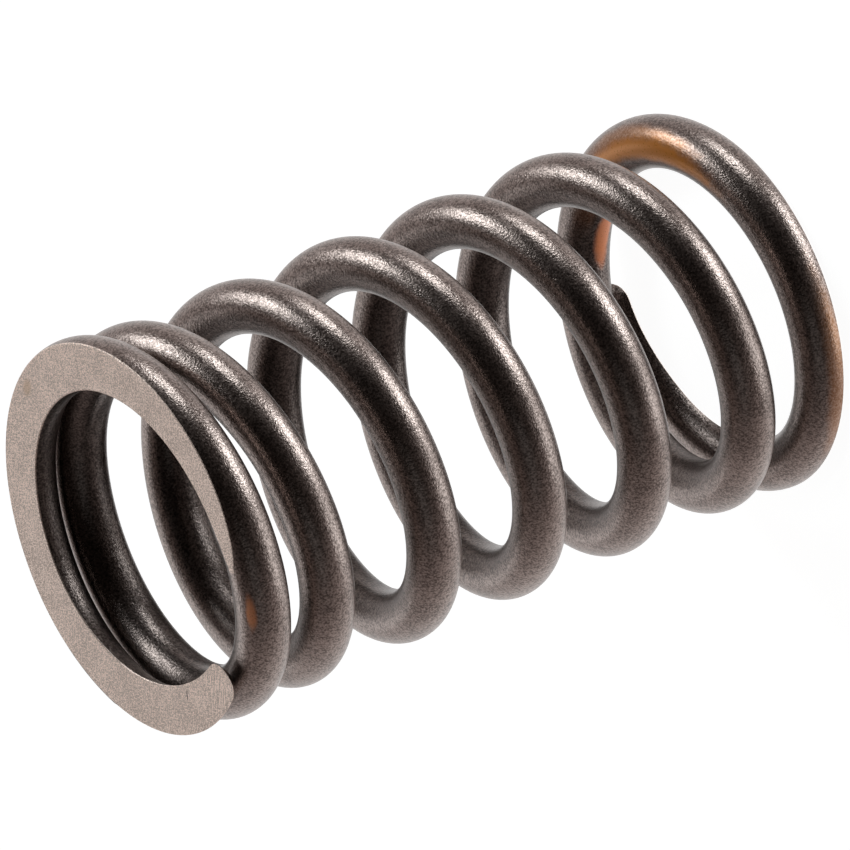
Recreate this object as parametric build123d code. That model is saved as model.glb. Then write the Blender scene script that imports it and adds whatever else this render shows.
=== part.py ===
"""Engine valve spring: one round wire coiled right-handed, with both ends closed and ground flat.

Millimetres, +Z up along the coil axis. The origin is the centre of the bottom ground face. The bottom
tip of the wire lies on +X, and the wire climbs anticlockwise from there to the top tip.
"""
import os
from math import ceil, cos, degrees, radians, sin, sqrt, tau

from build123d import *

# The wire and the working coils
wire_diameter = 4.0
mean_coil_diameter = 25.4
total_turns = 7.374
working_pitch = 9.6

# Top end: wire left at its tip after grinding, air between the tip and the coil that it lies on,
# where the closed coils start to open, counted in turns from the tip, and how many turns that takes
top_tip_thickness = 0.62
top_gap = 0.205
top_opens_at = 1.365
top_opens_over = 0.583

# The closed top coils lie a little askew, so that grinding leaves a face of uneven width
top_lean = 0.523
top_lean_from = 0.009

# They also lie a little off the axis, in the direction that is given in degrees from the bottom tip
top_offset = 0.25
top_offset_bearing = 155
top_offset_turns = 2.08

# Bottom end: its closed coil starts to open before it has gone once round
bottom_tip_thickness = 1.05
bottom_gap = 0.12
bottom_opens_at = 0.67
bottom_opens_over = 0.46

# The coils run a little wider towards each end
top_flare = 0.86
bottom_flare = 0.25
flare_turns = 1.44

# The last of the wire is tucked in at the top tip and stands out at the bottom tip
top_tuck = 0.87
top_tuck_turns = 0.33
bottom_kick = 0.75
bottom_kick_turns = 0.13

# Both tips are rounded over
tip_rounding = 1.5

# The wire is bent as tangent arcs, two to each bend
bends_per_turn = 8

wire_radius = wire_diameter / 2
coil_radius = mean_coil_diameter / 2


def ease(share):
    """Goes smoothly from 0 to 1 as share goes from 0 to 1."""
    share = min(max(share, 0.0), 1.0)
    return share * share * (3 - 2 * share)


def eased_sum(share):
    """The area under ease, from 0 to share."""
    inside = min(max(share, 0.0), 1.0)
    return inside**3 - inside**4 / 2 + max(share - 1, 0.0)


def seat_pitch(gap, opens_at, opens_over):
    """The pitch next to a tip that lets the coil above pass over the tip with the stated gap."""
    opened = opens_over * eased_sum((1 - opens_at) / opens_over)
    return (wire_diameter + gap - working_pitch * opened) / (1 - opened)


def rise(turns, tip_thickness, gap, opens_at, opens_over, lean=0.0, lean_from=0.0):
    """How far the wire's centre stands above the ground face, so many turns from the tip."""
    pitch = seat_pitch(gap, opens_at, opens_over)
    opened = (turns - opens_at) / opens_over
    coiled = pitch * turns + (working_pitch - pitch) * opens_over * eased_sum(opened)
    askew = sin(tau * (turns - lean_from)) * (1 - ease(opened)) + sin(tau * lean_from)
    return tip_thickness - wire_radius + coiled + lean * askew


def top_rise(turns):
    return rise(turns, top_tip_thickness, top_gap, top_opens_at, top_opens_over, top_lean, top_lean_from)


def bottom_rise(turns):
    return rise(turns, bottom_tip_thickness, bottom_gap, bottom_opens_at, bottom_opens_over)


free_length = bottom_rise(total_turns / 2) + top_rise(total_turns / 2)


def fading(size, turns, over):
    """A size that is full at a tip and goes smoothly to nothing over so many turns."""
    return size * (1 - ease(turns / over))


def wire_centre(turns):
    """The point on the wire's centre line that lies so many turns up from the bottom tip."""
    left = total_turns - turns
    widened = fading(bottom_flare, turns, flare_turns) + fading(top_flare, left, flare_turns)
    bent = fading(bottom_kick, turns, bottom_kick_turns) - fading(top_tuck, left, top_tuck_turns)
    radius = coil_radius + widened + bent
    aside = fading(top_offset, left, top_offset_turns)
    bearing = radians(top_offset_bearing)
    height = bottom_rise(turns) if turns < left else free_length - top_rise(left)
    return Vector(radius * cos(tau * turns) + aside * cos(bearing),
                  radius * sin(tau * turns) + aside * sin(bearing), height)


def wire_direction(turns):
    step = 0.0005
    return (wire_centre(turns + step) - wire_centre(turns - step)).normalized()


def arc_joint(start, start_direction, end, end_direction):
    """Where two arcs meet that join both ends tangentially, and their common direction there."""
    chord = end - start
    along = chord.dot(start_direction + end_direction)
    turned = 2 * (1 - start_direction.dot(end_direction))
    reach = (sqrt(along**2 + turned * chord.dot(chord)) - along) / turned
    corner_before = start + start_direction * reach
    corner_after = end - end_direction * reach
    return (corner_before + corner_after) * 0.5, (corner_after - corner_before).normalized()


def bent_wire(start, direction, end):
    """A length of the round wire, bent to the arc that leaves start in the given direction."""
    arc = TangentArc(start, end, tangent=direction)
    bend_axis = Axis(arc.arc_center, direction.cross(arc.arc_center - start))
    section = Plane(origin=start, x_dir=bend_axis.direction, z_dir=direction) * Circle(wire_radius)
    return revolve(section, axis=bend_axis, revolution_arc=degrees(arc.length / arc.radius))


def end_face(length, tip):
    return length.faces().filter_by(GeomType.PLANE).sort_by_distance(tip)[0]


def rounded_tip(length, tip):
    """The first or last length of the wire, with the rim of its end face rounded over."""
    return fillet(end_face(length, tip).edges(), min(tip_rounding, 0.95 * wire_radius))


def coiled_wire():
    """The whole wire before grinding: bent lengths from tip to tip, with one skin around them all."""
    lengths = []
    bends = ceil(total_turns * bends_per_turn)
    for bend in range(bends):
        first = total_turns * bend / bends
        last = total_turns * (bend + 1) / bends
        start, start_direction = wire_centre(first), wire_direction(first)
        end, end_direction = wire_centre(last), wire_direction(last)
        middle, middle_direction = arc_joint(start, start_direction, end, end_direction)
        lengths.append(bent_wire(start, start_direction, middle))
        lengths.append(bent_wire(middle, middle_direction, end))
    bottom_tip, top_tip = wire_centre(0), wire_centre(total_turns)
    lengths[0] = rounded_tip(lengths[0], bottom_tip)
    lengths[-1] = rounded_tip(lengths[-1], top_tip)
    skin = [face for length in lengths for face in length.faces() if face.geom_type != GeomType.PLANE]
    skin += [end_face(lengths[0], bottom_tip), end_face(lengths[-1], top_tip)]
    return Solid(Shell(skin))


def valve_spring():
    """The coiled wire, with both ends ground off flat and square to the axis."""
    ground_below = split(coiled_wire(), Plane.XY, keep=Keep.TOP)
    return split(ground_below, Plane.XY.offset(free_length), keep=Keep.BOTTOM).solid()


spring = valve_spring()
spring.label = "valve_spring"
print(f"free length {free_length:.2f}, outside {mean_coil_diameter + wire_diameter:.2f}, "
      f"volume {spring.volume:.1f}, valid {spring.is_valid}")

os.makedirs("parts", exist_ok=True)
export_step(spring, "parts/valve_spring.step")
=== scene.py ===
"""An engine valve spring: one round wire of spring steel, coiled, closed and ground flat at both ends."""
import math

import bpy
from mathutils import Matrix, Vector


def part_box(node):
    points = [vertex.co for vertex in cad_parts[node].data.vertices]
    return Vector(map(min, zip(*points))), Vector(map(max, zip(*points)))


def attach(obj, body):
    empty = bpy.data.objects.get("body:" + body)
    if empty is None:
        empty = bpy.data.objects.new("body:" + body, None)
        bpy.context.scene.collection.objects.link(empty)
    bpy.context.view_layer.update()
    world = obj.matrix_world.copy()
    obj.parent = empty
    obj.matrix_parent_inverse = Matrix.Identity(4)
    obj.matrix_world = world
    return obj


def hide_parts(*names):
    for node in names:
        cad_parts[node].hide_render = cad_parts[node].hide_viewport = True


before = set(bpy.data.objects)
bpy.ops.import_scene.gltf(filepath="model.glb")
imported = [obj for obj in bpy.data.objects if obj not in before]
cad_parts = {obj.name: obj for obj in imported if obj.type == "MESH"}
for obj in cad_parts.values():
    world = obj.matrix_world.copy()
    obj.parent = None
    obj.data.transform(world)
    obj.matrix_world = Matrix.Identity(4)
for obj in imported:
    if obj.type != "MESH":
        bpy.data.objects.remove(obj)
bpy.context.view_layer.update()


# The photograph's view
# The spring stands on its far ground end. The camera looks down on the near end from well back, and is
# rolled over, so that the coils run across the picture.
view_azimuth = math.radians(-162.83)
view_elevation = math.radians(30.65)
view_roll = math.radians(112.2155)
view_distance = 1.03987
view_centre = Vector((0.000029, 0.000480, 0.027308))

towards_camera = Vector((
    math.cos(view_elevation) * math.cos(view_azimuth),
    math.cos(view_elevation) * math.sin(view_azimuth),
    math.sin(view_elevation),
))
level_right = Vector((0, 0, 1)).cross(towards_camera).normalized()
level_up = towards_camera.cross(level_right)
view_up = level_up * math.cos(view_roll) + level_right * math.sin(view_roll)
view_right = view_up.cross(towards_camera)

camera_data = bpy.data.cameras.new("camera")
camera_data.sensor_width = 36
camera_data.lens = 605.1
camera_data.clip_start = 0.05
camera_data.clip_end = 20
camera = bpy.data.objects.new("camera", camera_data)
camera_place = Matrix.Translation(view_centre + towards_camera * view_distance)
camera_turn = Matrix((view_right, view_up, towards_camera)).transposed().to_4x4()
camera.matrix_world = camera_place @ camera_turn
bpy.context.scene.collection.objects.link(camera)
bpy.context.scene.camera = camera
bpy.context.scene.view_settings.view_transform = "Standard"


# The studio
# A white floor, soft boxes round the spring, and surroundings that are white behind it and fall off to
# the dark of the room on the camera's side.
lamp_distance = 0.7
cool_white = (0.91, 1.0, 1.03)


def studio_direction(right, up, near):
    """A direction in the model's frame, given as the photographer sees it."""
    return (view_right * right + view_up * up + towards_camera * near).normalized()


def soft_box(name, direction, width, height, brightness):
    """A soft light that faces the spring, and looks as bright as stated, where 1 is white."""
    data = bpy.data.lights.new(name, "AREA")
    data.shape = "RECTANGLE"
    data.size = width
    data.size_y = height
    data.energy = brightness * math.pi * width * height
    data.color = cool_white
    lamp = bpy.data.objects.new(name, data)
    lamp.visible_camera = False
    place = Matrix.Translation(view_centre + direction * lamp_distance)
    lamp.matrix_world = place @ direction.to_track_quat("Z", "Y").to_matrix().to_4x4()
    bpy.context.scene.collection.objects.link(lamp)


soft_box("left_box", studio_direction(-0.86, 0.50, 0.04), 0.30, 0.30, 7.0)
soft_box("top_box", studio_direction(-0.05, 0.98, 0.18), 0.25, 0.22, 8.8)
soft_box("right_box", studio_direction(0.79, 0.60, 0.16), 0.34, 0.30, 7.2)
soft_box("right_reflector", studio_direction(0.95, -0.05, 0.02), 0.42, 0.38, 1.6)
soft_box("left_card", studio_direction(-0.81, -0.33, -0.48), 0.36, 0.36, 0.9)
soft_box("table_bounce", studio_direction(0.0, -0.72, 0.65), 0.50, 0.30, 0.14)


class Number:
    """A number in a node tree. Plain arithmetic on it adds the Math nodes that work it out."""

    def __init__(self, tree, socket):
        self.tree = tree
        self.socket = socket

    def __add__(self, other):
        return worked(self.tree, "ADD", self, other)

    def __radd__(self, other):
        return worked(self.tree, "ADD", other, self)

    def __sub__(self, other):
        return worked(self.tree, "SUBTRACT", self, other)

    def __rsub__(self, other):
        return worked(self.tree, "SUBTRACT", other, self)

    def __mul__(self, other):
        return worked(self.tree, "MULTIPLY", self, other)

    def __rmul__(self, other):
        return worked(self.tree, "MULTIPLY", other, self)

    def __truediv__(self, other):
        return worked(self.tree, "DIVIDE", self, other)

    def __rtruediv__(self, other):
        return worked(self.tree, "DIVIDE", other, self)

    def __neg__(self):
        return worked(self.tree, "MULTIPLY", self, -1)


def feed(tree, socket, value):
    """Links a node tree's number or socket to an input, or writes a plain value there."""
    if isinstance(value, Number):
        tree.links.new(value.socket, socket)
    elif isinstance(value, bpy.types.NodeSocket):
        tree.links.new(value, socket)
    else:
        socket.default_value = value


def worked(tree, operation, *values):
    """The result of one Math node."""
    node = tree.nodes.new("ShaderNodeMath")
    node.operation = operation
    for socket, value in zip(node.inputs, values):
        feed(tree, socket, value)
    return Number(tree, node.outputs["Value"])


def new_node(tree, kind, **values):
    """Adds a node, and feeds the inputs that are named."""
    node = tree.nodes.new(kind)
    for name, value in values.items():
        feed(tree, node.inputs[name.replace("_", " ")], value)
    return node


world = bpy.data.worlds.new("studio_surroundings")
bpy.context.scene.world = world
world.use_nodes = True
room = world.node_tree

# The room runs from 0.1 on the camera's side to 1 behind the spring
backwards = room.nodes.new("ShaderNodeVectorMath")
backwards.operation = "DOT_PRODUCT"
feed(room, backwards.inputs[0], room.nodes.new("ShaderNodeTexCoord").outputs["Generated"])
feed(room, backwards.inputs[1], studio_direction(0.32, -0.03, -0.95))
fall_off = room.nodes.new("ShaderNodeValToRGB")
feed(room, fall_off.inputs["Fac"], Number(room, backwards.outputs["Value"]) * 0.45 + 0.55)
stops = fall_off.color_ramp.elements
stops[0].position = 0.1
stops[0].color = (0.006, 0.004, 0.003, 1)
stops[1].position = 0.92
stops[1].color = (1, 1, 1, 1)
for position, colour in ((0.35, (0.060, 0.049, 0.045, 1)), (0.62, (0.40, 0.355, 0.345, 1))):
    stops.new(position).color = colour
room_looks = new_node(room, "ShaderNodeBackground", Color=fall_off.outputs["Color"])
white_looks = room.nodes["Background"]
white_looks.inputs["Color"].default_value = (1, 1, 1, 1)

# The camera itself sees plain white behind the spring
choose = room.nodes.new("ShaderNodeMixShader")
feed(room, choose.inputs["Fac"], room.nodes.new("ShaderNodeLightPath").outputs["Is Camera Ray"])
feed(room, choose.inputs[1], room_looks.outputs["Background"])
feed(room, choose.inputs[2], white_looks.outputs["Background"])
feed(room, room.nodes["World Output"].inputs["Surface"], choose.outputs["Shader"])

# The floor glows for the camera alone, so that it is white and still takes the spring's shadow
floor_half = 1.5
floor_glow = 0.95
floor_mesh = bpy.data.meshes.new("floor")
floor_mesh.from_pydata(
    [(-floor_half, -floor_half, 0), (floor_half, -floor_half, 0), (floor_half, floor_half, 0),
     (-floor_half, floor_half, 0)],
    [], [(0, 1, 2, 3)],
)
floor = bpy.data.objects.new("floor", floor_mesh)
bpy.context.scene.collection.objects.link(floor)
floor.visible_glossy = False
floor.visible_shadow = False
floor_paint = bpy.data.materials.new("white_floor")
floor_paint.use_nodes = True
floor_nodes = floor_paint.node_tree
matt_floor = floor_nodes.nodes["Principled BSDF"]
matt_floor.inputs["Base Color"].default_value = (0.2, 0.2, 0.2, 1)
matt_floor.inputs["Roughness"].default_value = 0.9
lit_floor = floor_nodes.nodes.new("ShaderNodeEmission")
floor_seen = floor_nodes.nodes.new("ShaderNodeLightPath").outputs["Is Camera Ray"]
feed(floor_nodes, lit_floor.inputs["Strength"], Number(floor_nodes, floor_seen) * floor_glow)
floor_looks = floor_nodes.nodes.new("ShaderNodeAddShader")
feed(floor_nodes, floor_looks.inputs[0], matt_floor.outputs["BSDF"])
feed(floor_nodes, floor_looks.inputs[1], lit_floor.outputs["Emission"])
feed(floor_nodes, floor_nodes.nodes["Material Output"].inputs["Surface"], floor_looks.outputs["Shader"])
floor_mesh.materials.append(floor_paint)


# The coiled wire
# One length of round spring steel, coiled right-handed over a mandrel. The end coils are closed on
# their neighbours and ground flat, and the whole wire is shot-peened.


def eased(tree, share):
    """Goes smoothly from 0 to 1 as share goes from 0 to 1."""
    node = tree.nodes.new("ShaderNodeMapRange")
    node.interpolation_type = "SMOOTHSTEP"
    feed(tree, node.inputs["Value"], share)
    return Number(tree, node.outputs["Result"])


def held(tree, value, low, high):
    """A number, held between two others."""
    return worked(tree, "MINIMUM", worked(tree, "MAXIMUM", value, low), high)


def eased_sum(tree, share):
    """The area under eased, from 0 to share."""
    inside = held(tree, share, 0, 1)
    return inside * inside * inside * (1 - inside * 0.5) + worked(tree, "MAXIMUM", share - 1, 0)


# Lengths in metres, and distances along the wire in turns
wire_sizes = {
    "Wire Diameter": 0.004,
    "Mean Coil Diameter": 0.0254,
    "Total Turns": 7.374,
    "Working Pitch": 0.0096,
    "Free Length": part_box("valve_spring")[1][2],
    "Top Tip Thickness": 0.00062,
    "Top Gap": 0.000205,
    "Top Opens At": 1.365,
    "Top Opens Over": 0.583,
    "Top Lean": 0.000523,
    "Top Lean From": 0.009,
    "Top Offset": 0.00025,
    "Top Offset Turns": 2.08,
    "Top Offset Bearing": math.radians(155),
    "Bottom Tip Thickness": 0.00105,
    "Bottom Gap": 0.00012,
    "Bottom Opens At": 0.67,
    "Bottom Opens Over": 0.46,
    "Top Flare": 0.00086,
    "Bottom Flare": 0.00025,
    "Flare Turns": 1.44,
    "Top Tuck": 0.00087,
    "Top Tuck Turns": 0.33,
    "Bottom Kick": 0.00075,
    "Bottom Kick Turns": 0.13,
    "Tip Rounding": 0.0015,
}


def size_inputs(tree):
    """Gives a node tree an input for each of the wire's sizes, and returns them as numbers."""
    for name, value in wire_sizes.items():
        tree.interface.new_socket(name, in_out="INPUT", socket_type="NodeSocketFloat").default_value = value
    given = tree.nodes.new("NodeGroupInput")
    return {name: Number(tree, given.outputs[name]) for name in wire_sizes}


def rise(tree, turns, size, end, lean=0.0, lean_from=0.0):
    """How far the wire's centre stands above the ground face of one end, so many turns from its tip."""
    opens_at, opens_over = size[end + " Opens At"], size[end + " Opens Over"]
    once_opened = opens_over * eased_sum(tree, (1 - opens_at) / opens_over)
    closed = size["Wire Diameter"] + size[end + " Gap"] - size["Working Pitch"] * once_opened
    pitch = closed / (1 - once_opened)
    opened = (turns - opens_at) / opens_over
    coiled = pitch * turns + (size["Working Pitch"] - pitch) * opens_over * eased_sum(tree, opened)
    leaning = worked(tree, "SINE", math.tau * (turns - lean_from)) * (1 - eased(tree, opened))
    askew = leaning + worked(tree, "SINE", math.tau * lean_from)
    return size[end + " Tip Thickness"] - size["Wire Diameter"] * 0.5 + coiled + lean * askew


def fading(tree, size, turns, over):
    """A size that is full at a tip and goes smoothly to nothing over so many turns."""
    return size * (1 - eased(tree, turns / over))


# The wire's centre line. Its lower half is laid out from the bottom tip, and its upper half from the top.
wire_centre = bpy.data.node_groups.new("wire_centre", "GeometryNodeTree")
sizes = size_inputs(wire_centre)
wire_centre.interface.new_socket("Turns", in_out="INPUT", socket_type="NodeSocketFloat")
wire_centre.interface.new_socket("Centre", in_out="OUTPUT", socket_type="NodeSocketVector")
turns = Number(wire_centre, wire_centre.nodes["Group Input"].outputs["Turns"])
left = sizes["Total Turns"] - turns
bottom_rise = rise(wire_centre, turns, sizes, "Bottom")
top_rise = rise(wire_centre, left, sizes, "Top", sizes["Top Lean"], sizes["Top Lean From"])
in_top_half = worked(wire_centre, "GREATER_THAN", turns, left)
height = bottom_rise + in_top_half * (sizes["Free Length"] - top_rise - bottom_rise)
radius = (
    sizes["Mean Coil Diameter"] * 0.5
    + fading(wire_centre, sizes["Bottom Flare"], turns, sizes["Flare Turns"])
    + fading(wire_centre, sizes["Bottom Kick"], turns, sizes["Bottom Kick Turns"])
    + fading(wire_centre, sizes["Top Flare"], left, sizes["Flare Turns"])
    - fading(wire_centre, sizes["Top Tuck"], left, sizes["Top Tuck Turns"])
)
aside = fading(wire_centre, sizes["Top Offset"], left, sizes["Top Offset Turns"])
centre = wire_centre.nodes.new("ShaderNodeCombineXYZ")
for axis, turned in (("X", "COSINE"), ("Y", "SINE")):
    on_circle = radius * worked(wire_centre, turned, math.tau * turns)
    moved_aside = aside * worked(wire_centre, turned, sizes["Top Offset Bearing"])
    feed(wire_centre, centre.inputs[axis], on_circle + moved_aside)
feed(wire_centre, centre.inputs["Z"], height)
feed(wire_centre, wire_centre.nodes.new("NodeGroupOutput").inputs["Centre"], centre.outputs["Vector"])


def vector_worked(tree, operation, *values):
    """The result of one Vector Math node, as a socket."""
    node = tree.nodes.new("ShaderNodeVectorMath")
    node.operation = operation
    for socket, value in zip(node.inputs, values):
        feed(tree, socket, value)
    return node.outputs["Vector"]


def scaled(tree, vector, length):
    """A vector times a number."""
    node = tree.nodes.new("ShaderNodeVectorMath")
    node.operation = "SCALE"
    feed(tree, node.inputs[0], vector)
    feed(tree, node.inputs["Scale"], length)
    return node.outputs["Vector"]


def separated(tree, vector):
    """The three numbers of a vector."""
    node = new_node(tree, "ShaderNodeSeparateXYZ", Vector=vector)
    return [Number(tree, node.outputs[axis]) for axis in "XYZ"]


def in_use(sockets, name):
    """The socket of this name that goes with the node's kind of data."""
    return next(socket for socket in sockets if socket.name == name and socket.enabled)


def noise(tree, place, scale, detail):
    """A smooth random number that changes over the surface, so many times to the metre."""
    node = new_node(tree, "ShaderNodeTexNoise", Vector=place, Scale=scale, Detail=detail)
    return Number(tree, node.outputs["Fac"])


# The grain that both finishes have: pits and dents to feel, and flecks and clouds of tone to see
grain = bpy.data.node_groups.new("steel_grain", "ShaderNodeTree")
grain.interface.new_socket("Grain Size", in_out="INPUT", socket_type="NodeSocketFloat")
grain.interface.new_socket("Height", in_out="OUTPUT", socket_type="NodeSocketFloat")
grain.interface.new_socket("Tone", in_out="OUTPUT", socket_type="NodeSocketFloat")
grain_size = Number(grain, grain.nodes.new("NodeGroupInput").outputs["Grain Size"])
on_steel = grain.nodes.new("ShaderNodeTexCoord").outputs["Object"]
pits = new_node(grain, "ShaderNodeTexVoronoi", Vector=on_steel, Scale=1 / grain_size)
pits.feature = "SMOOTH_F1"
pits.inputs["Smoothness"].default_value = 0.4
fine = noise(grain, on_steel, 1.1 / grain_size, 2.0)
flecks = noise(grain, on_steel, 0.9 / grain_size, 1.0)
dents = noise(grain, on_steel, 0.42 / grain_size, 1.0)
cloud = noise(grain, on_steel, 0.05 / grain_size, 3.0)
pitted = Number(grain, pits.outputs["Distance"]) * 0.7
grain_out = grain.nodes.new("NodeGroupOutput")
feed(grain, grain_out.inputs["Height"], pitted + fine + dents * 0.25)
feed(grain, grain_out.inputs["Tone"], flecks * 0.65 + dents * 0.2 + cloud * 0.15)


def grained(tree, grain_size, depth):
    """The tone of steel with a grain of this size and depth, and its Bump node."""
    node = tree.nodes.new("ShaderNodeGroup")
    node.node_tree = grain
    node.inputs["Grain Size"].default_value = grain_size
    bump = new_node(tree, "ShaderNodeBump", Height=node.outputs["Height"], Distance=depth)
    return Number(tree, node.outputs["Tone"]), bump


def mixed_colour(tree, share, first, second):
    """One colour turning into another as share goes from 0 to 1."""
    node = tree.nodes.new("ShaderNodeMix")
    node.data_type = "RGBA"
    feed(tree, node.inputs["Factor"], share)
    feed(tree, in_use(node.inputs, "A"), first)
    feed(tree, in_use(node.inputs, "B"), second)
    return in_use(node.outputs, "Result")


def place_on_wire(tree):
    """How far along the whole wire and how far round it a point lies, both from 0 to 1."""
    node = tree.nodes.new("ShaderNodeUVMap")
    node.uv_map = "wire_map"
    return separated(tree, node.outputs["UV"])[:2]


# A daub of marking paint. Its middle lies so many turns from the bottom tip, and so many degrees round
# the wire from its outer side. It reaches so far each way, in the same measures, and covers so well.
# Ragged breaks up its edge.
daub_sizes = ("Turn", "Degrees", "Reach Along", "Reach Around", "Cover")
daub = bpy.data.node_groups.new("paint_daub", "ShaderNodeTree")
for name in (*daub_sizes, "Ragged"):
    daub.interface.new_socket(name, in_out="INPUT", socket_type="NodeSocketFloat")
daub.interface.new_socket("Mask", in_out="OUTPUT", socket_type="NodeSocketFloat")
daub_in = daub.nodes.new("NodeGroupInput").outputs
given = {name: Number(daub, daub_in[name]) for name in (*daub_sizes, "Ragged")}
along_wire, round_wire = place_on_wire(daub)
off_turn = (along_wire * wire_sizes["Total Turns"] - given["Turn"]) / given["Reach Along"]
off_side = (270 - round_wire * 360 - given["Degrees"]) / given["Reach Around"]
off_middle = worked(daub, "SQRT", off_turn * off_turn + off_side * off_side)
mask = given["Cover"] * (1 - eased(daub, off_middle * 1.6 - 0.6 + given["Ragged"]))
feed(daub, daub.nodes.new("NodeGroupOutput").inputs["Mask"], mask)

golden = (0.60, 0.215, 0.030, 1)
orange = (0.85, 0.27, 0.10, 1)
salmon = (1.0, 0.42, 0.20, 1)
paint_daubs = (
    (0.455, 0, 0.110, 34, 0.32, golden),
    (0.760, 64, 0.110, 40, 0.35, golden),
    (0.745, 88, 0.125, 34, 1.0, golden),
    (0.860, 128, 0.075, 40, 0.2, golden),
    (0.924, 184, 0.046, 27, 1.0, orange),
    (6.452, 58, 0.022, 15, 0.9, salmon),
)

steel = bpy.data.materials.new("shot_peened_steel")
steel.use_nodes = True
peening = steel.node_tree
tone, bump = grained(peening, 0.00014, 0.000019)
on_steel = peening.nodes.new("ShaderNodeTexCoord").outputs["Object"]
ragged = noise(peening, on_steel, 900.0, 4.0) * 0.7 - 0.35

# Painted shade: the inner side of the coils, where the coils shade each other, is painted darker
round_wire = place_on_wire(peening)[1]
outer = worked(peening, "COSINE", math.tau * (0.75 - round_wire))
inner_painted_shade = eased(peening, 0.35 - outer)
dark_flecks = mixed_colour(peening, inner_painted_shade, (0.130, 0.102, 0.091, 1), (0.065, 0.051, 0.046, 1))
light_flecks = mixed_colour(peening, inner_painted_shade, (0.405, 0.326, 0.296, 1), (0.230, 0.186, 0.169, 1))
steel_colour = mixed_colour(peening, eased(peening, tone * 3.2 - 1.1), dark_flecks, light_flecks)

# The paint lies over the steel, and takes away its metal look and most of its grain
painted_share = 0
for *values, colour in paint_daubs:
    node = peening.nodes.new("ShaderNodeGroup")
    node.node_tree = daub
    for name, value in zip(daub_sizes, values):
        node.inputs[name].default_value = value
    feed(peening, node.inputs["Ragged"], ragged)
    mask = Number(peening, node.outputs["Mask"])
    steel_colour = mixed_colour(peening, mask, steel_colour, colour)
    painted_share = worked(peening, "MAXIMUM", painted_share, mask)
peened_looks = peening.nodes["Principled BSDF"]
feed(peening, peened_looks.inputs["Base Color"], steel_colour)
feed(peening, peened_looks.inputs["Metallic"], 1 - painted_share * 0.75)
feed(peening, peened_looks.inputs["Roughness"], 0.255 + tone * 0.10 - painted_share * 0.02)
feed(peening, bump.inputs["Strength"], 1 - painted_share * 0.8)
feed(peening, peened_looks.inputs["Normal"], bump.outputs["Normal"])

# The faces that the wheels leave are paler and more matt than the peened wire
ground_steel = bpy.data.materials.new("ground_steel")
ground_steel.use_nodes = True
grinding = ground_steel.node_tree
tone, bump = grained(grinding, 0.00011, 0.000012)
face_x, face_y, face_z = separated(grinding, grinding.nodes.new("ShaderNodeTexCoord").outputs["Object"])
on_top = worked(grinding, "GREATER_THAN", face_z, 0.03)


def face_mark(x, y, half_width, half_length, heading):
    """Fades from 1 in the middle of a mark on the top ground face to 0 at its edge."""
    along = (face_x - x) * math.cos(heading) + (face_y - y) * math.sin(heading)
    aside = (face_y - y) * math.cos(heading) - (face_x - x) * math.sin(heading)
    along, aside = along / half_length, aside / half_width
    off_middle = worked(grinding, "SQRT", along * along + aside * aside)
    return on_top * eased(grinding, (1 - off_middle) * 1.6)


# Scratches from the wheel, which show most on the thin tip. The noise is drawn out along them.
scratch_heading = math.radians(67)
across_scratches = 7500
along_scratches = 700
scratch_place = grinding.nodes.new("ShaderNodeCombineXYZ")
feed(grinding, scratch_place.inputs["X"],
     (face_y * math.cos(scratch_heading) - face_x * math.sin(scratch_heading)) * across_scratches)
feed(grinding, scratch_place.inputs["Y"],
     (face_x * math.cos(scratch_heading) + face_y * math.sin(scratch_heading)) * along_scratches)
scratches = noise(grinding, scratch_place.outputs["Vector"], 1.0, 2.0)
near_tip = face_mark(-0.0078, 0.0098, 0.0030, 0.0040, scratch_heading)
ground_tone = tone + (scratches - 0.5) * (near_tip * 0.5 + 0.15)
ground_colour = mixed_colour(grinding, eased(grinding, ground_tone * 4.2 - 1.6),
                             (0.46, 0.368, 0.318, 1), (0.96, 0.780, 0.684, 1))

# A faint tan stain, and one dark nick
stained = face_mark(0.0088, -0.0108, 0.0006, 0.0011, 0.9) * 0.5
ground_colour = mixed_colour(grinding, stained, ground_colour, (0.55, 0.36, 0.22, 1))
nicked = face_mark(-0.00302, 0.01160, 0.00009, 0.00055, math.radians(80))
ground_colour = mixed_colour(grinding, nicked, ground_colour, (0.03, 0.02, 0.02, 1))
ground_looks = grinding.nodes["Principled BSDF"]
feed(grinding, ground_looks.inputs["Base Color"], ground_colour)
ground_looks.inputs["Metallic"].default_value = 0.8
feed(grinding, ground_looks.inputs["Roughness"], 0.49 + tone * 0.1)
feed(grinding, ground_looks.inputs["Normal"], bump.outputs["Normal"])

# The wire's skin is a grid, bent into rings that stand at stations along the wire. Some of the stations
# are kept for each rounded tip. The corner that a wheel leaves lies so many faces round the ring.
stations = 1040
cap_stations = 12
ring_faces = 72
corner_at = 16

coiled = bpy.data.node_groups.new("coiled_wire", "GeometryNodeTree")
sizes = size_inputs(coiled)
for name, count in (("Stations", stations), ("Cap Stations", cap_stations), ("Ring Faces", ring_faces)):
    coiled.interface.new_socket(name, in_out="INPUT", socket_type="NodeSocketInt").default_value = count
coiled.interface.new_socket("Wire", in_out="OUTPUT", socket_type="NodeSocketGeometry")
given = coiled.nodes["Group Input"].outputs
last_station = Number(coiled, given["Stations"]) - 1
cap = Number(coiled, given["Cap Stations"])

grid = coiled.nodes.new("GeometryNodeMeshGrid")
grid.inputs["Size X"].default_value = 1
grid.inputs["Size Y"].default_value = 1
feed(coiled, grid.inputs["Vertices X"], Number(coiled, given["Stations"]) + 2)
feed(coiled, grid.inputs["Vertices Y"], Number(coiled, given["Ring Faces"]) + 1)

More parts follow.
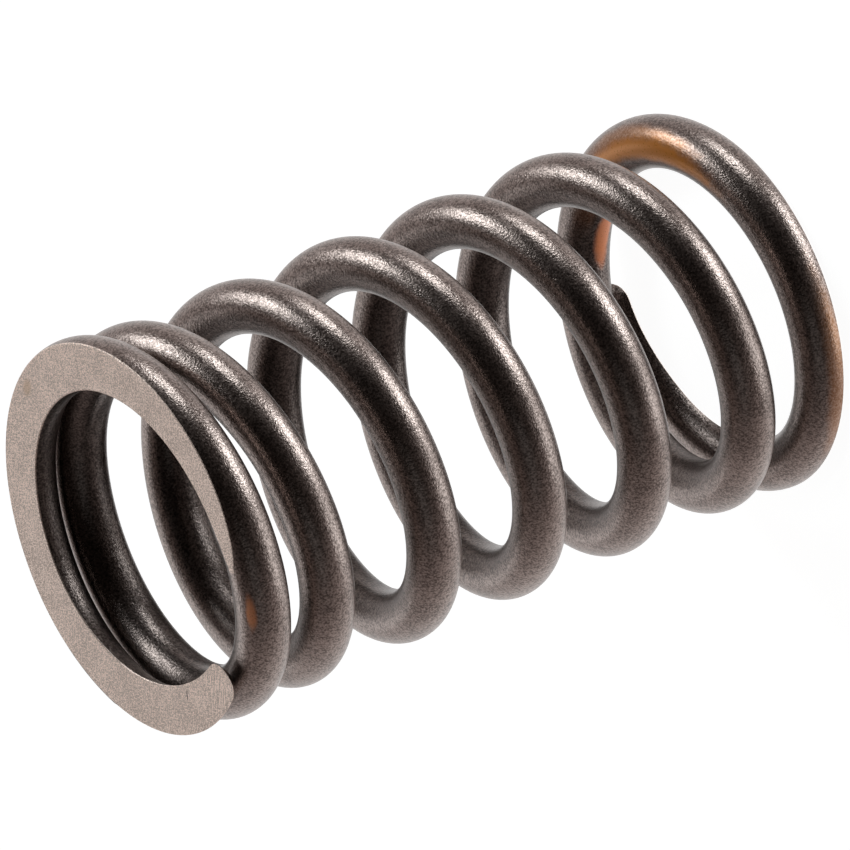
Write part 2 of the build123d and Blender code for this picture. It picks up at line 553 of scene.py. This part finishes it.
# One more row of the grid at each end closes the tip, in the middle of its ring
grid_place = coiled.nodes.new("GeometryNodeInputPosition").outputs["Position"]
grid_x, grid_y = separated(coiled, grid_place)[:2]
station = (grid_x + 0.5) * (Number(coiled, given["Stations"]) + 1) - 1
on_wire = held(coiled, station, 0, last_station)
tip_middle = worked(coiled, "GREATER_THAN", worked(coiled, "ABSOLUTE", station - on_wire), 0.5)

# Both tips are rounded over. The first and last stations follow the rounding, from where the ground
# face cuts it off, and the rest are spread evenly over the wire between them.
wire_radius = sizes["Wire Diameter"] * 0.5
rounding = sizes["Tip Rounding"]


def rounded_tip(stations_in, thickness, tip_radius):
    """How much narrower the ring is near a tip, how far in it lies, and how long the rounding is."""
    start = worked(coiled, "ARCSINE", worked(coiled, "MAXIMUM", 1 - thickness / rounding, 0))
    angle = start + (math.pi / 2 - start) * worked(coiled, "MINIMUM", stations_in / cap, 1)
    one_turn = math.tau * tip_radius
    narrower = rounding * (1 - worked(coiled, "SINE", angle))
    return narrower, rounding * (1 - worked(coiled, "COSINE", angle)) / one_turn, rounding / one_turn


coil_radius = sizes["Mean Coil Diameter"] * 0.5
bottom_tip_radius = coil_radius + sizes["Bottom Flare"] + sizes["Bottom Kick"]
top_tip_radius = coil_radius + sizes["Top Flare"] - sizes["Top Tuck"]
bottom_narrower, bottom_in, bottom_cap = rounded_tip(
    on_wire, sizes["Bottom Tip Thickness"], bottom_tip_radius
)
top_narrower, top_in, top_cap = rounded_tip(
    last_station - on_wire, sizes["Top Tip Thickness"], top_tip_radius
)
ring_radius = wire_radius - bottom_narrower - top_narrower
evenly = held(coiled, (on_wire - cap) / (last_station - cap * 2), 0, 1)
between_caps = sizes["Total Turns"] - bottom_cap - top_cap
turns = bottom_in + evenly * between_caps + (top_cap - top_in)


def centre_at(turns):
    """The wire's centre, so many turns up from the bottom tip."""
    node = coiled.nodes.new("GeometryNodeGroup")
    node.node_tree = wire_centre
    for name in wire_sizes:
        feed(coiled, node.inputs[name], sizes[name])
    feed(coiled, node.inputs["Turns"], turns)
    return node.outputs["Centre"]


# Each ring stands square to the wire, which is found from its centre a little before and a little after
short_step = 0.0005
middle = centre_at(turns)
ahead = vector_worked(coiled, "SUBTRACT", centre_at(turns + short_step), centre_at(turns - short_step))
along = vector_worked(coiled, "NORMALIZE", ahead)
sideways = vector_worked(coiled, "CROSS_PRODUCT", along, Vector((0, 0, 1)))
outward = vector_worked(coiled, "NORMALIZE", sideways)
upward = vector_worked(coiled, "CROSS_PRODUCT", outward, along)

# Where the wheels cut the section, measured upwards from its centre
centre_height = separated(coiled, middle)[2]
upright = separated(coiled, upward)[2]
top_cut = (sizes["Free Length"] - centre_height) / upright
bottom_cut = centre_height / upright

# The ring's vertices are spread so that one lies on each corner that a wheel leaves. The next one
# lies just past it, and the two hold a narrow bevel that takes the sharpness off the ground edge.
# Where a wheel just misses the wire, the vertices spread out evenly again over a short run-out.
one_face = 2 / ring_faces
corner_share = corner_at * one_face
bevel_share = 0.03
narrowest = math.radians(7)
run_out = 0.0003


def corner_angle(cut):
    """The angle from the ground side of the ring to the corner that the wheel leaves."""
    reach = worked(coiled, "MAXIMUM", worked(coiled, "MINIMUM", cut / ring_radius, 1), -1)
    angle = worked(coiled, "MAXIMUM", worked(coiled, "ARCCOSINE", reach), narrowest)
    return angle + (math.pi * corner_share - narrowest) * eased(coiled, (cut - ring_radius) / run_out)


def spread(share, corner, bevelled):
    """The angle from the ground side, for a share of the half ring."""
    near = worked(coiled, "MINIMUM", share, corner_share)
    beyond = worked(coiled, "MAXIMUM", share - corner_share, 0)
    plain = beyond * (math.pi - corner) / (1 - corner_share)
    next_face = worked(coiled, "MINIMUM", beyond / one_face, 1) * bevel_share
    later = worked(coiled, "MAXIMUM", beyond - one_face, 0)
    later = later * (math.pi - corner - bevel_share) / (1 - corner_share - one_face)
    return near * corner / corner_share + plain + bevelled * (next_face + later - plain)


across = grid_y * 2
side = worked(coiled, "SIGN", across)
share_from_top = worked(coiled, "ABSOLUTE", across)
top_corner = corner_angle(top_cut)
bottom_corner = corner_angle(bottom_cut)
top_ground = worked(coiled, "LESS_THAN", top_cut, ring_radius)
bottom_ground = worked(coiled, "LESS_THAN", bottom_cut, ring_radius)
from_top = spread(share_from_top, top_corner, top_ground)
from_top = math.pi - spread(1 - from_top / math.pi, bottom_corner, bottom_ground)

# The ring's two measures: ring_u outwards and ring_v upwards from the wire's centre
ring_u = ring_radius * worked(coiled, "SINE", from_top)
for share, corner, ground in ((share_from_top, top_corner, top_ground),
                              (1 - share_from_top, bottom_corner, bottom_ground)):
    before_corner = worked(coiled, "LESS_THAN", share, corner_share)
    past_middle = before_corner * worked(coiled, "GREATER_THAN", corner, math.pi / 2)
    on_flat = ring_radius * worked(coiled, "SINE", corner) * share / corner_share
    ring_u = ring_u + past_middle * (on_flat - ring_u)
    off_corner = worked(coiled, "ABSOLUTE", share - corner_share)
    on_corner = worked(coiled, "LESS_THAN", off_corner, one_face / 4)
    ring_u = ring_u * (1 - on_corner * ground * bevel_share)
ring_u = ring_u * side * (1 - tip_middle)
ring_v = ring_radius * worked(coiled, "COSINE", from_top)
highest = worked(coiled, "MINIMUM", ring_radius, top_cut)
lowest = worked(coiled, "MAXIMUM", -ring_radius, -bottom_cut)
ring_v = worked(coiled, "MAXIMUM", worked(coiled, "MINIMUM", ring_v, highest), lowest)
ring_v = ring_v + tip_middle * ((highest + lowest) * 0.5 - ring_v)
off_centre = vector_worked(coiled, "ADD", scaled(coiled, outward, ring_u), scaled(coiled, upward, ring_v))
point = vector_worked(coiled, "ADD", middle, off_centre)


def geometry_step(kind, geometry, **values):
    """Adds a node to the coiled wire's tree that changes the geometry, and returns the node."""
    node = coiled.nodes.new(kind)
    coiled.links.new(geometry, node.inputs[0])
    for name, value in values.items():
        feed(coiled, node.inputs[name.replace("_", " ")], value)
    return node


wire_map = coiled.nodes.new("ShaderNodeCombineXYZ")
feed(coiled, wire_map.inputs["X"], turns / sizes["Total Turns"])
feed(coiled, wire_map.inputs["Y"], 0.5 + side * from_top / math.tau)
mapped = geometry_step("GeometryNodeStoreNamedAttribute", grid.outputs["Mesh"])
mapped.data_type = "FLOAT2"
mapped.domain = "CORNER"
mapped.inputs["Name"].default_value = "wire_map"
feed(coiled, in_use(mapped.inputs, "Value"), wire_map.outputs["Vector"])
bent = geometry_step("GeometryNodeSetPosition", mapped.outputs["Geometry"], Position=point)
closed = geometry_step("GeometryNodeMergeByDistance", bent.outputs["Geometry"], Distance=0.0000005)
smooth = geometry_step("GeometryNodeSetShadeSmooth", closed.outputs["Geometry"])

# Edges that turn more than this are shaded sharp, which are those of the ground faces
sharp_turn = math.radians(15)
edge_angle = Number(coiled, coiled.nodes.new("GeometryNodeInputMeshEdgeAngle").outputs["Unsigned Angle"])
sharp = geometry_step("GeometryNodeStoreNamedAttribute", smooth.outputs["Geometry"])
sharp.data_type = "BOOLEAN"
sharp.domain = "EDGE"
sharp.inputs["Name"].default_value = "sharp_edge"
feed(coiled, in_use(sharp.inputs, "Value"), worked(coiled, "GREATER_THAN", edge_angle, sharp_turn))
peened = geometry_step("GeometryNodeSetMaterial", sharp.outputs["Geometry"], Material=steel)

# The ground faces and their bevels are those that lie within this depth of either end
ground_depth = 0.00003
half_length = sizes["Free Length"] * 0.5
face_height = separated(coiled, coiled.nodes.new("GeometryNodeInputPosition").outputs["Position"])[2]
from_middle = worked(coiled, "ABSOLUTE", face_height - half_length)
on_wheel = worked(coiled, "GREATER_THAN", from_middle, half_length - ground_depth)
ground_faces = geometry_step("GeometryNodeSetMaterial", peened.outputs["Geometry"], Selection=on_wheel,
                             Material=ground_steel)
realized = geometry_step("GeometryNodeRealizeInstances", ground_faces.outputs["Geometry"])
feed(coiled, coiled.nodes.new("NodeGroupOutput").inputs["Wire"], realized.outputs["Geometry"])

wire = bpy.data.objects.new("coiled_wire", bpy.data.meshes.new("coiled_wire"))
bpy.context.scene.collection.objects.link(wire)
coiling = wire.modifiers.new("coiling", "NODES")
coiling.node_group = coiled
for socket in coiled.interface.items_tree:
    if socket.in_out == "INPUT" and socket.name in wire_sizes:
        coiling[socket.identifier] = wire_sizes[socket.name]
evaluated = bpy.context.evaluated_depsgraph_get()
finished = bpy.data.meshes.new_from_object(wire.evaluated_get(evaluated), depsgraph=evaluated)
wire.modifiers.remove(coiling)
wire.data = finished
finished.name = "coiled_wire"

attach(wire, "root")
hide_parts("valve_spring")


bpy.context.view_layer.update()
triangles = sum(len(face.vertices) - 2 for face in finished.polygons)
print("wire", len(finished.vertices), "vertices", triangles, "triangles")
